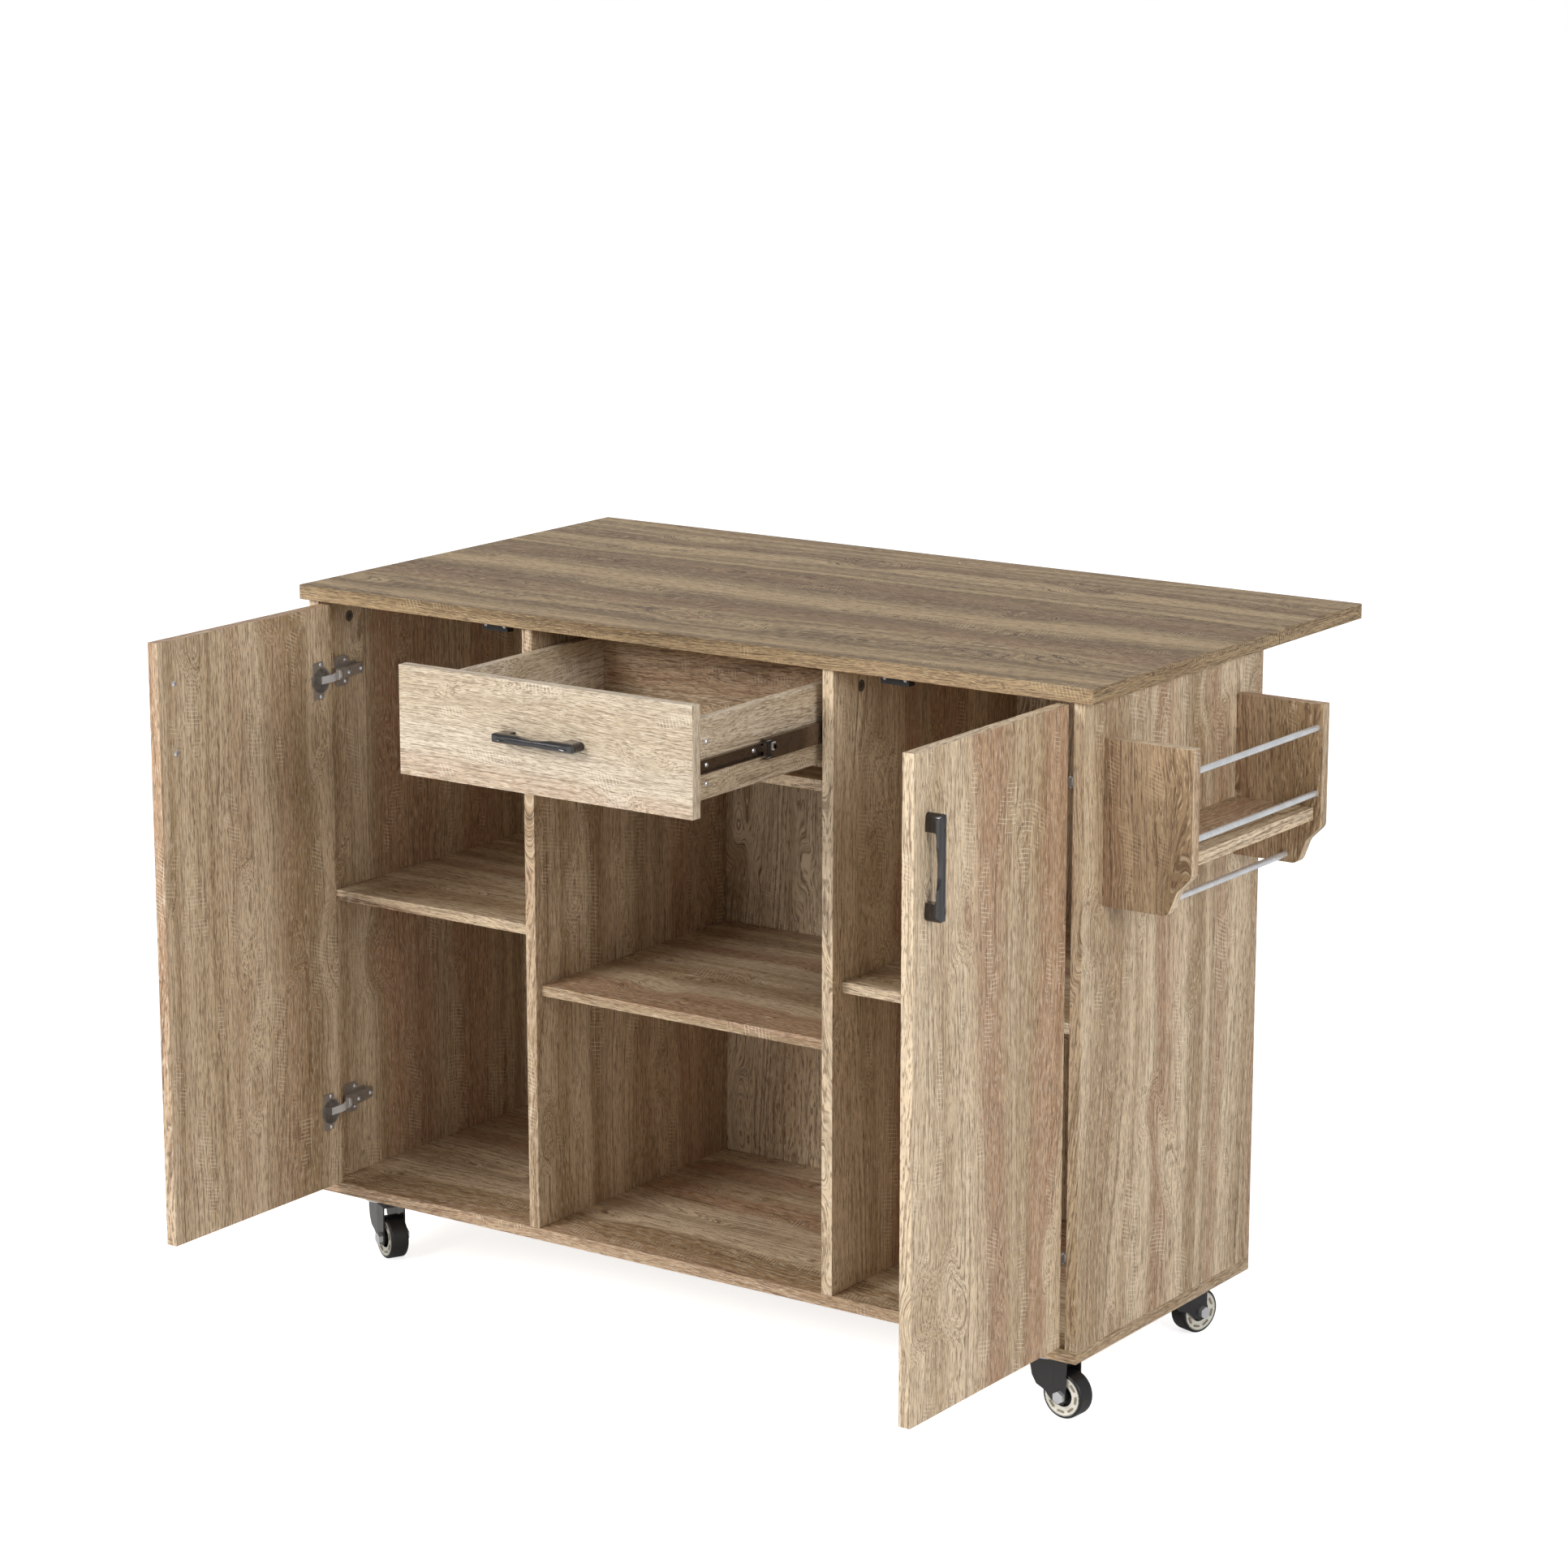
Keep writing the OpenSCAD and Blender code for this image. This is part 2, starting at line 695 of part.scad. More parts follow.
module bracket_arm(x) {
    for (s = [-1, 1])
        translate([x + (s > 0 ? arm_bw / 2 - sheet : -arm_bw / 2), 0, 0]) rotate([90, 0, 90])
            linear_extrude(sheet) arm_cheek();
    difference() {
        slab([x - arm_bw / 2, x + arm_bw / 2], [hinge_y + 14, hinge_y + arm_l], [top_z - sheet, top_z]);
        for (y = [40, arm_l * 0.55, arm_l - 25]) bar_z([x, hinge_y + y, top_z - 3], 5, 5);
    }
}

module bracket_arms() color(black) for (x = bracket_x) bracket_arm(x);

// the brace: pinned to the leg, held at 45 degrees under the arm
module brace(x) color(black)
    translate([x, hinge_y - brace_in, hinge_z - brace_drop]) rotate([45, 0, 0])
        rotate([90, 0, 90]) translate([0, 0, -6]) linear_extrude(12) difference() {
            hull() {
                circle(r = brace_r - 0.3, $fn = 32);
                translate([brace_len, 0]) circle(r = brace_r - 0.3, $fn = 32);
            }
            circle(d = 4 + 2 * fit, $fn = 32);
            hull() {
                translate([22, 0]) circle(r = 2.2, $fn = 24);
                translate([brace_len - 22, 0]) circle(r = 2.2, $fn = 24);
            }
        }

module brace_left() brace(bracket_x[0]);
module brace_right() brace(bracket_x[1]);

// ---------- casters ----------

wheel_z = wheel_d / 2;
plate_t = 2.5;
race_z = caster_h - 11;
race_d = 48;
yoke_gap = wheel_w + 3;
fork_t = 2;
hub_d = wheel_d - 8.5;
core_d = 28;
axle_d = 6;
nut_t = 6;

module at_caster(i) translate([caster_xy[i][0], caster_xy[i][1], 0]) rotate([0, 0, trail_dir[i]]) children();

// screwed plate, dished ball race, and the stud that the fork turns on
module caster_plates() color(steel) for (i = [0 : 3]) translate([caster_xy[i][0], caster_xy[i][1], 0]) {
    difference() {
        translate([-27, -27, caster_h - plate_t]) linear_extrude(plate_t) round_rect(54, 54, 5, $fn = 24);
        for (sx = [-19, 19]) for (sy = [-19, 19]) bar_z([sx, sy, caster_h - 5], 8, 5.5);
    }
    translate([0, 0, race_z]) cylinder(h = 4, d = race_d, $fn = 64);
    translate([0, 0, race_z + 4]) cylinder(h = caster_h - plate_t - race_z - 4, d1 = race_d, d2 = 34, $fn = 64);
    bar_z([0, 0, race_z - 6], 7, 8);
    bar_z([0, 0, race_z - 6.5], 3, 13);
}

// the fork from the side: its flat top at the race, its lower corner round the axle
module fork_side() polygon([
    [-18, race_z - 0.5], [-18, race_z - 15], [-15, race_z - 28], [-8, race_z - 38],
    [trail - 24, wheel_z + 3], [trail - 15, wheel_z - 6], [trail - 5, wheel_z - 11],
    [trail + 4, wheel_z - 10], [trail + 8, wheel_z - 5], [trail + 8, race_z - 0.5]
]);

// the fork from above: two cheeks, drawn in a little towards the front
module fork_plan(inset) {
    a = yoke_gap / 2 + fork_t - inset;
    e = inset > 0 ? 1 : 0;
    polygon([
        [-18 - e, a - 2.9], [17, a], [trail + 8 + e, a],
        [trail + 8 + e, -a], [17, -a], [-18 - e, 2.9 - a]
    ]);
}

module yoke(i) at_caster(i) {
    color(black) difference() {
        union() {
            intersection() {
                translate([0, 0, wheel_z - 12]) linear_extrude(race_z) difference() {
                    fork_plan(0);
                    fork_plan(fork_t);
                }
                rotate([90, 0, 0]) translate([0, 0, -30]) linear_extrude(60) fork_side();
            }
            translate([0, 0, race_z - 3]) linear_extrude(2.5) fork_plan(0);
        }
        bar_z([0, 0, race_z - 10], 20, 8 + 2 * fit);
    }
    color(steel) translate([trail, 0, wheel_z]) rotate([90, 0, 0]) {
        translate([0, 0, -yoke_gap / 2 - fork_t]) cylinder(h = yoke_gap + 2 * fork_t, d = axle_d, $fn = 32);
        for (s = [-1, 1]) translate([0, 0, s * (yoke_gap / 2 + fork_t + nut_t / 2)])
            rotate([0, 0, 30]) cylinder(h = nut_t, d = 16, center = true, $fn = 6);
    }
}

module wheel(i) at_caster(i) translate([trail, 0, wheel_z]) rotate([90, 0, 0]) {
    color(rubber) rotate_extrude($fn = 72) offset(r = 3, $fn = 16) offset(delta = -3)
        translate([hub_d / 2 - 4, -wheel_w / 2]) square([(wheel_d - hub_d) / 2 + 4, wheel_w]);
    color(cream) difference() {
        union() {
            cylinder(h = wheel_w - 2.4, d = hub_d, center = true, $fn = 72);
            cylinder(h = yoke_gap - 0.6, d = 15, center = true, $fn = 48);
        }
        // recess round the boss on each side
        for (s = [-1, 1]) translate([0, 0, s * (wheel_w / 2 - 2.5)]) difference() {
            cylinder(h = 8, d = core_d, center = true, $fn = 64);
            cylinder(h = 10, d = 15, center = true, $fn = 48);
        }
        cylinder(h = wheel_w + 10, d = axle_d + 2 * fit, center = true, $fn = 32);
    }
}

module caster_yoke_fl() yoke(0);
module caster_yoke_fr() yoke(1);
module caster_yoke_bl() yoke(2);
module caster_yoke_br() yoke(3);
module caster_wheel_fl() wheel(0);
module caster_wheel_fr() wheel(1);
module caster_wheel_bl() wheel(2);
module caster_wheel_br() wheel(3);

place() tabletop();
place() side_left();
place() side_right();
place() bottom_panel();
place() divider_left();
place() divider_right();
place() back_panel();
place() shelf_left();
place() shelf_middle();
place() shelf_right();
place() drawer_rail();
place() shelf_pins();
place() cam_locks();
place() door_catches();
place() hinge_arms_left();
place() hinge_arms_right();
place() slide_outer();
place() rack_side_front();
place() rack_side_back();
place() rack_shelf();
place() rack_rods();
place() leaf_hinges_fixed();
place() bracket_legs();
place() caster_plates();
place() drop_leaf();
place() leaf_hinges_moving();
place() bracket_arms();
place() brace_left();
place() brace_right();
place() door_left();
place() door_right();
place() handle_left();
place() handle_right();
place() hinge_cups_left();
place() hinge_cups_right();
place() hinge_links_left();
place() hinge_links_right();
place() drawer_front();
place() drawer_side_left();
place() drawer_side_right();
place() drawer_back();
place() drawer_bottom();
place() drawer_handle();
place() slide_inner();
place() slide_middle();
place() slide_balls_outer();
place() slide_balls_inner();
place() caster_yoke_fl();
place() caster_yoke_fr();
place() caster_yoke_bl();
place() caster_yoke_br();
place() caster_wheel_fl();
place() caster_wheel_fr();
place() caster_wheel_bl();
place() caster_wheel_br();
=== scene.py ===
import json
import math

import bmesh
import bpy
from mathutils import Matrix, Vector


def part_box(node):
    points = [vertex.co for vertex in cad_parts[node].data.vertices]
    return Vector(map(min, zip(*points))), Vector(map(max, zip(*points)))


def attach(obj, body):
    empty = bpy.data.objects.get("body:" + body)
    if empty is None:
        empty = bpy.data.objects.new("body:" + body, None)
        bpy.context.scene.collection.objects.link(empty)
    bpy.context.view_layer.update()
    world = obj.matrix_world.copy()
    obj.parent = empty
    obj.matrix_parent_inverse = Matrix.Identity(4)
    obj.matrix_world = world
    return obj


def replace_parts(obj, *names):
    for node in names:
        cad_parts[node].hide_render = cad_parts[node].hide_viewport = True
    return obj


# The island as it stands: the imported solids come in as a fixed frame, and each section below
# finishes the pieces of one kind and adds what is fastened to them.
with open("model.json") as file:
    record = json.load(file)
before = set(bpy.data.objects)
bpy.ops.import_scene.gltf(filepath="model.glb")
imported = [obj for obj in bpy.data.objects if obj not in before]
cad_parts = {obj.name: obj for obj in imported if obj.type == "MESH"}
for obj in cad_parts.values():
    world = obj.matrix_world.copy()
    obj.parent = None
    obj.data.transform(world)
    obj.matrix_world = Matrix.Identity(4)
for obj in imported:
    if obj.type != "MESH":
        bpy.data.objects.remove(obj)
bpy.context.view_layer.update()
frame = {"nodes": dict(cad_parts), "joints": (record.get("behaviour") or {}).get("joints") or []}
nodes = frame["nodes"]


# Body boards: 16 mm particle board faced with an embossed oak print in cream, olive and pinkish
# bands, with dark pores, growth lines that part round small eyes, and patches of pale saw marks.
# Every edge is closed with a band of the same print, and cams and dowels join the boards.
along_x, along_y, along_z = range(3)
edge_round = 0.0006
smallest_edge_face = 12e-6
corner_angle = 0.6
flat_angle = 0.01
same_point = 1e-6
crumb_length = 1e-5
merge_length = 2e-5
emboss_depth = 0.0004
growth_lines_per_metre = 210
saw_lines_per_metre = 190
saw_slant = 0.25


class Wire:
    """A socket of a node tree, on which arithmetic adds Math nodes."""

    def __init__(self, tree, socket=None):
        self.tree = tree
        self.socket = socket

    def node(self, kind, settings=(), sockets=(), out=0):
        made = self.tree.nodes.new(kind)
        for name, value in dict(settings).items():
            setattr(made, name, value)
        for key, value in dict(sockets).items():
            if isinstance(value, Wire):
                self.tree.links.new(value.socket, made.inputs[key])
            else:
                made.inputs[key].default_value = value
        return Wire(self.tree, made.outputs[out] if made.outputs else None)

    def maths(self, operation, *terms):
        return self.node("ShaderNodeMath", {"operation": operation}, enumerate(terms))

    def __add__(self, other):
        return self.maths("ADD", self, other)

    def __sub__(self, other):
        return self.maths("SUBTRACT", self, other)

    def __rsub__(self, other):
        return self.maths("SUBTRACT", other, self)

    def __mul__(self, other):
        return self.maths("MULTIPLY", self, other)

    def __abs__(self):
        return self.maths("ABSOLUTE", self)

    __radd__ = __add__
    __rmul__ = __mul__

    def within(self, low, high):
        """0 at low and 1 at high, smooth between."""
        return self.node(
            "ShaderNodeMapRange",
            {"interpolation_type": "SMOOTHSTEP"},
            {"Value": self, "From Min": low, "From Max": high},
        )

    def tint(self, first, second):
        """first where this wire is 0, second where it is 1."""
        return self.node("ShaderNodeMix", {"data_type": "RGBA"}, {0: self, 6: first, 7: second}, 2)


def shade(red, green, blue):
    """A colour as it looks on paper, 0 to 255, in the units that a shader takes."""
    return (*(((c / 255 + 0.055) / 1.055) ** 2.4 for c in (red, green, blue)), 1)


def new_material(name):
    material = bpy.data.materials.new(name)
    material.use_nodes = True
    material.node_tree.nodes.clear()
    return material, Wire(material.node_tree)


def laminate(name, grain, broad, cream, olive, pink, dark, light):
    """Oak print with its grain along one axis, and broad is how many bands go to the metre."""
    material, start = new_material(name)
    place = start.node("ShaderNodeTexCoord", out="Object")
    axes = [place.node("ShaderNodeSeparateXYZ", (), {0: place}, n) for n in range(3)]
    along = axes.pop(grain)
    side, depth = axes

    def noise(along_scale, across_scale, detail=0, shift=0.0, across=None):
        """Clouds drawn out along the grain."""
        spot = place.node("ShaderNodeCombineXYZ", (), {
            0: along * along_scale,
            1: (across or side) * across_scale + shift,
            2: depth * across_scale,
        })
        return place.node("ShaderNodeTexNoise", (), {
            "Vector": spot, "Scale": 1.0, "Detail": detail, "Roughness": 0.55})

    # distance across the growth rings: straight, then swelling, rippling and bulging round eyes
    swell = (noise(1.3, 7) - 0.5) * 0.12
    ripple = (noise(8, 30, 1) - 0.5) * 0.011
    eyes = noise(6.5, 20, 0, 3.7).within(0.6, 0.84) * 0.03
    ring = side + depth + swell + ripple + eyes

    def lines(count, detail, shift=0.0):
        """Streaks that follow the growth rings, count of them to the metre."""
        return place.node("ShaderNodeTexNoise", {"noise_dimensions": "1D"}, {
            "W": ring * count + shift, "Scale": 1.0, "Detail": detail, "Roughness": 0.6})

    bands = lines(broad, 2)
    hues = lines(broad * 0.6, 1, 5.3)
    growth = lines(growth_lines_per_metre, 3, 2.1)
    clear = noise(2.6, 9, 1, 8.3).within(0.42, 0.62)
    fibres = noise(8, 400, 2, 0.0, ring)
    pores = noise(75, 700, 1, 4.0, ring).within(0.5, 0.66)
    flecks = noise(70, 760, 1, 11.0, ring).within(0.54, 0.72)

    # saw marks: thin slanted lines about 5 mm apart, broken up, in patches along the grain
    step = (along + (side + depth) * saw_slant) * saw_lines_per_metre + noise(5, 14, 0, 1.9) * 4
    line = abs(step.maths("FRACT", step) - 0.5).within(0.16, 0.05)
    patch = noise(6, 22, 1, 6.6).within(0.56, 0.64)
    marks = line * patch * noise(55, 60, 0, 2.7).within(0.42, 0.52)

    # the print's inks, one over the other, and what they press into the face
    ground = bands.within(0.37, 0.62).tint(olive, cream)
    ground = (hues.within(0.48, 0.64) * 0.8).tint(ground, pink)
    lined = growth.within(0.5, 0.72) * (clear * 0.38 + 0.18)
    ground = lined.tint(ground, dark)
    ground = (growth.within(0.46, 0.26) * (clear + patch) * 0.3).tint(ground, light)
    ground = (fibres.within(0.46, 0.7) * 0.66).tint(ground, dark)
    ground = (pores * 0.62).tint(ground, dark)
    ground = (flecks * 0.6).tint(ground, light)
    ground = (marks * 0.55).tint(ground, light)
    height = marks * 0.4 - pores * 0.9 - lined * 0.3
    relief = place.node("ShaderNodeBump", (), {
        "Strength": 0.6, "Distance": emboss_depth, "Height": height})
    skin = place.node("ShaderNodeBsdfPrincipled", (), {
        "Base Color": ground,
        "Roughness": pores * 0.15 + 0.46,
        "Normal": relief,
    })
    skin.node("ShaderNodeOutputMaterial", (), {"Surface": skin})
    return material


def oak_print(name, broad, cream, olive, pink, dark, light):
    """The same print three times, with its grain along X, Y and Z."""
    return [laminate(f"{name}, grain along {axis}", n, broad, cream, olive, pink, dark, light)
            for n, axis in enumerate("XYZ")]


def new_piece(name, mesh, body):
    """A piece made here from a finished mesh, which rides on a body."""
    piece = bpy.data.objects.new(name, mesh)
    bpy.context.collection.objects.link(piece)
    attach(piece, body)
    return piece


def dress_board(name, body, grain, faces, bands):
    """A copy with softened edges: its own grain on both faces, and its band's on each edge."""
    low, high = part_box(name)
    size = [top - bottom for top, bottom in zip(high, low)]
    thin = size.index(min(size))
    board = bmesh.new()
    board.from_mesh(nodes[name].data)
    bmesh.ops.remove_doubles(board, verts=board.verts, dist=same_point)
    bmesh.ops.dissolve_limit(board, angle_limit=flat_angle, verts=board.verts, edges=board.edges)
    sharp = [edge for edge in board.edges if edge.is_manifold and edge.calc_face_angle() > corner_angle
             and min(face.calc_area() for face in edge.link_faces) > smallest_edge_face]
    bmesh.ops.bevel(board, geom=sharp, offset=edge_round, segments=2, profile=0.5, affect="EDGES")
    bmesh.ops.remove_doubles(board, verts=board.verts, dist=merge_length)
    bmesh.ops.dissolve_degenerate(board, dist=crumb_length, edges=board.edges)
    many_sided = [face for face in board.faces if len(face.verts) > 4]
    bmesh.ops.triangulate(board, faces=many_sided, ngon_method="BEAUTY")
    for face in board.faces:
        facing = max(range(3), key=lambda n: abs(face.normal[n]))
        band = max((n for n in range(3) if n != facing), key=lambda n: size[n])
        face.material_index = grain if facing == thin else len(faces) + band
    mesh = bpy.data.meshes.new(f"{name}_finished")
    board.to_mesh(mesh)
    board.free()
    for material in faces + bands:
        mesh.materials.append(material)
    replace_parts(new_piece(f"{name}_finished", mesh, body), name)


body_print = oak_print(
    "body print", 13, cream=shade(227, 204, 171), olive=shade(175, 148, 112), pink=shade(186, 147, 115),
    dark=shade(99, 70, 46), light=shade(237, 221, 196))
for name in ("side_left", "side_right", "divider_left", "divider_right", "back_panel"):
    dress_board(name, "cabinet", along_z, body_print, body_print)
for name in ("bottom_panel", "drawer_rail"):
    dress_board(name, "cabinet", along_x, body_print, body_print)


# Worktop and drop leaf: two 19 mm boards in a darker, browner run of the same print, grain
# lengthwise, with banded edges. They meet in a narrow seam behind the body.
top_print = oak_print(
    "worktop print", 15, cream=shade(196, 167, 126), olive=shade(132, 107, 73), pink=shade(136, 103, 71),
    dark=shade(66, 47, 29), light=shade(210, 185, 146))
dress_board("tabletop", "cabinet", along_x, top_print, top_print)
dress_board("drop_leaf", "leaf", along_x, top_print, top_print)


# Shelves: loose 14 mm boards on four zinc-plated pins each. The worktop is drawn down on to the
# uprights by cam locks, whose cross-slotted discs sit flush in the inner faces. Their zinc is
# painted darker, partly as painted shade of the holes they sit in.
dull_share = 0.88
grit_depth = 0.0002


def plain_finish(name, colour, roughness, metallic, grit=300, relief=0.2, coat=0.0):
    """A plated, enamelled or moulded surface: a little cloudy, over a fine grit."""
    material, start = new_material(name)
    place = start.node("ShaderNodeTexCoord", out="Object")
    cloud = place.node("ShaderNodeTexNoise", (), {"Vector": place, "Scale": 60, "Detail": 3})
    grain = place.node("ShaderNodeTexNoise", (), {"Vector": place, "Scale": grit, "Detail": 2})
    darker = (*(part * dull_share for part in colour[:3]), 1)
    bump = place.node("ShaderNodeBump", (), {
        "Strength": relief, "Distance": grit_depth, "Height": grain})
    skin = place.node("ShaderNodeBsdfPrincipled", (), {
        "Base Color": cloud.within(0.35, 0.65).tint(darker, colour),
        "Metallic": metallic,
        "Roughness": (cloud - 0.5) * 0.15 + roughness,
        "Coat Weight": coat,
        "Normal": bump,
    })
    skin.node("ShaderNodeOutputMaterial", (), {"Surface": skin})
    return material


def finish_node(name, *materials):
    """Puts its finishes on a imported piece, whose shape stays as it is."""
    mesh = nodes[name].data
    mesh.materials.clear()
    for material in materials:
        mesh.materials.append(material)
    return mesh


bright_zinc = plain_finish("bright zinc", shade(222, 224, 228), roughness=0.3, metallic=0.8)
for name in ("shelf_left", "shelf_middle", "shelf_right"):
    dress_board(name, "cabinet", along_x, body_print, body_print)
finish_node("shelf_pins", bright_zinc)
# cam lock discs: zinc colour painted darker, partly standing in for the shade of their holes
zinc_with_painted_shade = plain_finish("cast zinc darkened by painted shade", shade(120, 114, 106), roughness=0.45, metallic=0.6)
finish_node("cam_locks", zinc_with_painted_shade)


# Screws: zinc-plated, with a low conical head and a cross recess, each turned as it was left by
# the driver. The same heads hold hinges, slides, brackets and casters.
head_sides = 20
head_top_share = 0.62
recess_width_share = 0.24
recess_depth_share = 0.9
full_turn = 6.28


def head_tree():
    """One screw head at each place, pointing the way it is told."""
    tree = bpy.data.node_groups.new("screw heads", "GeometryNodeTree")
    for name, kind in (("Places", "Geometry"), ("Radius", "Float"), ("Rise", "Float"),
                       ("Facing", "Vector"), ("Finish", "Material")):
        tree.interface.new_socket(name, in_out="INPUT", socket_type=f"NodeSocket{kind}")
    tree.interface.new_socket("Heads", in_out="OUTPUT", socket_type="NodeSocketGeometry")
    start = Wire(tree)
    given = tree.nodes.new("NodeGroupInput")
    places, radius, rise, facing, finish = (Wire(tree, given.outputs[n]) for n in range(5))
    head = start.node("GeometryNodeMeshCone", (), {
        "Vertices": head_sides, "Radius Bottom": radius, "Radius Top": radius * head_top_share,
        "Depth": rise})
    deep = rise * recess_depth_share
    wide = radius * recess_width_share
    joined = start.node("GeometryNodeJoinGeometry")
    for sides in ((radius, wide, deep), (wide, radius, deep)):
        size = start.node("ShaderNodeCombineXYZ", (), dict(enumerate(sides)))
        slot = start.node("GeometryNodeMeshCube", (), {"Size": size})
        lift = start.node("ShaderNodeCombineXYZ", (), {2: rise})
        slot = start.node("GeometryNodeTransform", (), {"Geometry": slot, "Translation": lift})
        tree.links.new(slot.socket, joined.socket.node.inputs[0])
    cut = start.node(
        "GeometryNodeMeshBoolean", {"operation": "DIFFERENCE", "solver": "EXACT"},
        {"Mesh 1": head, "Mesh 2": joined, "Self Intersection": True})
    angle = start.node("FunctionNodeRandomValue", {"data_type": "FLOAT"}, {3: full_turn, "Seed": 4}, 1)
    turn = start.node("ShaderNodeCombineXYZ", (), {2: angle})
    aim = start.node("FunctionNodeAlignRotationToVector", {"axis": "Z"}, {"Vector": facing})
    aim = start.node("FunctionNodeRotateRotation", {"rotation_space": "LOCAL"}, {0: aim, 1: turn})
    spread = start.node("GeometryNodeInstanceOnPoints", (), {
        "Points": places, "Instance": cut, "Rotation": aim})
    real = start.node("GeometryNodeRealizeInstances", (), {"Geometry": spread})
    real = start.node("GeometryNodeSetMaterial", (), {"Geometry": real, "Material": finish})
    start.node("NodeGroupOutput", (), {0: real})
    return tree


def scatter(name, body, slot, tree, places, **inputs):
    """What the tree makes at the places, as one piece."""
    points = bpy.data.meshes.new(name)
    points.from_pydata([tuple(place) for place in places], [], [])
    carrier = bpy.data.objects.new(name, points)
    bpy.context.collection.objects.link(carrier)
    modifier = carrier.modifiers.new("make", "NODES")
    modifier.node_group = tree
    sockets = {socket.name.lower(): socket.identifier
               for socket in tree.interface.items_tree if socket.in_out == "INPUT"}
    for key, value in inputs.items():
        modifier[sockets[key]] = value
    view = bpy.context.evaluated_depsgraph_get()
    mesh = bpy.data.meshes.new_from_object(carrier.evaluated_get(view))
    bpy.data.objects.remove(carrier)
    return new_piece(name, mesh, body)


screw_head = head_tree()


def screws(name, body, places, facing, radius, rise):
    """The heads of one row or group of screws, which sit on the surface at the places."""
    scatter(name, body, "bright_zinc", screw_head, places,
            radius=radius, rise=rise, facing=tuple(facing), finish=bright_zinc)


# Doors: one 16 mm board each, in the body's print on both faces with the grain upright. Each
# closes flush between a side board and a divider, and hangs on two concealed hinges.
for side in ("left", "right"):
    dress_board(f"door_{side}", f"door_{side}", along_z, body_print, body_print)


# Concealed hinges: an arm and its plate on the side board, a 35 mm cup let into the door, both
# pressed steel plated in dark nickel; the link and the cup's tongue are bright steel.
plate_half = 0.0205
hinge_plate_t = 0.0022
wing_screw_y = 0.0308
wing_screw_z = 0.014
arm_screw_rise = 0.0065
arm_screw_y = 0.0075
depth_screw_rise = 0.0113
depth_screw_y = 0.024
arm_facing = (0.989, 0.146)
flange_t = 0.0014
flange_half = 0.025
flange_screw_y = 0.0175
flange_screw_z = 0.0215
tongue_rise = 0.0002
dark_nickel = plain_finish("dark nickel plating", shade(176, 168, 160), roughness=0.3, metallic=0.5)
bright_steel = plain_finish(
    "bright pressed steel", shade(238, 240, 243), roughness=0.3, metallic=0.35, grit=500, relief=0.1)


def corners(name):
    """The low and the high corner of a piece."""
    return [Vector(corner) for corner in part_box(name)]


for side, inward in (("left", 1), ("right", -1)):
    finish_node(f"hinge_arms_{side}", dark_nickel)
    finish_node(f"hinge_links_{side}", bright_steel)
    cups = finish_node(f"hinge_cups_{side}", dark_nickel, bright_steel)
    low, high = corners(f"hinge_arms_{side}")
    levels = (low.z + plate_half, high.z - plate_half)
    plate_x = low.x + hinge_plate_t if inward > 0 else high.x - hinge_plate_t
    screws(f"hinge_plate_screws_{side}", "cabinet", [
        (plate_x, low.y + wing_screw_y, z + s * wing_screw_z) for z in levels for s in (-1, 1)
    ], (inward, 0, 0), radius=0.0036, rise=0.0018)
    slope = Vector((inward * arm_facing[0], arm_facing[1], 0))
    screws(f"hinge_arm_screws_{side}", "cabinet", [
        (plate_x + inward * arm_screw_rise, high.y - arm_screw_y, z) for z in levels
    ], slope, radius=0.0038, rise=0.0024)
    screws(f"hinge_depth_screws_{side}", "cabinet", [
        (plate_x + inward * depth_screw_rise, low.y + depth_screw_y, z) for z in levels
    ], slope, radius=0.0038, rise=0.0034)
    low, high = corners(f"hinge_cups_{side}")
    flange_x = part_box(f"door_{side}")[1 if inward > 0 else 0][0] + inward * flange_t
    screws(f"hinge_cup_screws_{side}", f"door_{side}", [
        (flange_x, low.y + flange_screw_y, z + s * flange_screw_z)
        for z in (low.z + flange_half, high.z - flange_half) for s in (-1, 1)
    ], (inward, 0, 0), radius=0.0032, rise=0.0012)
    for face in cups.polygons:
        proud = (face.center.x - flange_x) * inward
        face.material_index = int(proud > tongue_rise)


# Magnetic catches: black moulded bodies under the worktop, one behind the free corner of each
# closed door, with zinc-plated screws in their two slots.
catch_screw_x = (0.0055, 0.0355)
catch_screw_z = 0.006
catch_face_y = 0.0003
black_plastic = plain_finish("black plastic", shade(34, 34, 34), roughness=0.5, metallic=0.0)
finish_node("door_catches", black_plastic)
low, high = corners("door_catches")
near, far = catch_screw_x
screws("catch_screws", "cabinet", [
    (x, low.y + catch_face_y, high.z - catch_screw_z)
    for x in (low.x + near, low.x + far, high.x - far, high.x - near)
], (0, -1, 0), radius=0.0026, rise=0.0012)


# Handles: die-cast bars with scooped ends, black nickel under clear lacquer, each held by two
# zinc-plated screws from behind the board.
head_sink = 0.0005
black_nickel = plain_finish(
    "black nickel lacquer", shade(66, 64, 65), roughness=0.18, metallic=0.9,
    grit=600, relief=0.03, coat=0.6)
grips = {"handle_left": "door_left", "handle_right": "door_right", "drawer_handle": "drawer_front"}
for name, board in grips.items():
    mesh = finish_node(name, black_nickel, bright_zinc)
    low, high = corners(board)
    facing = 1 if name == "drawer_handle" else 0
    behind = high[facing] if name != "handle_right" else low[facing]
    toward = -1 if name == "handle_right" else 1
    for face in mesh.polygons:
        face.material_index = int((face.center[facing] - behind) * toward > -head_sink)


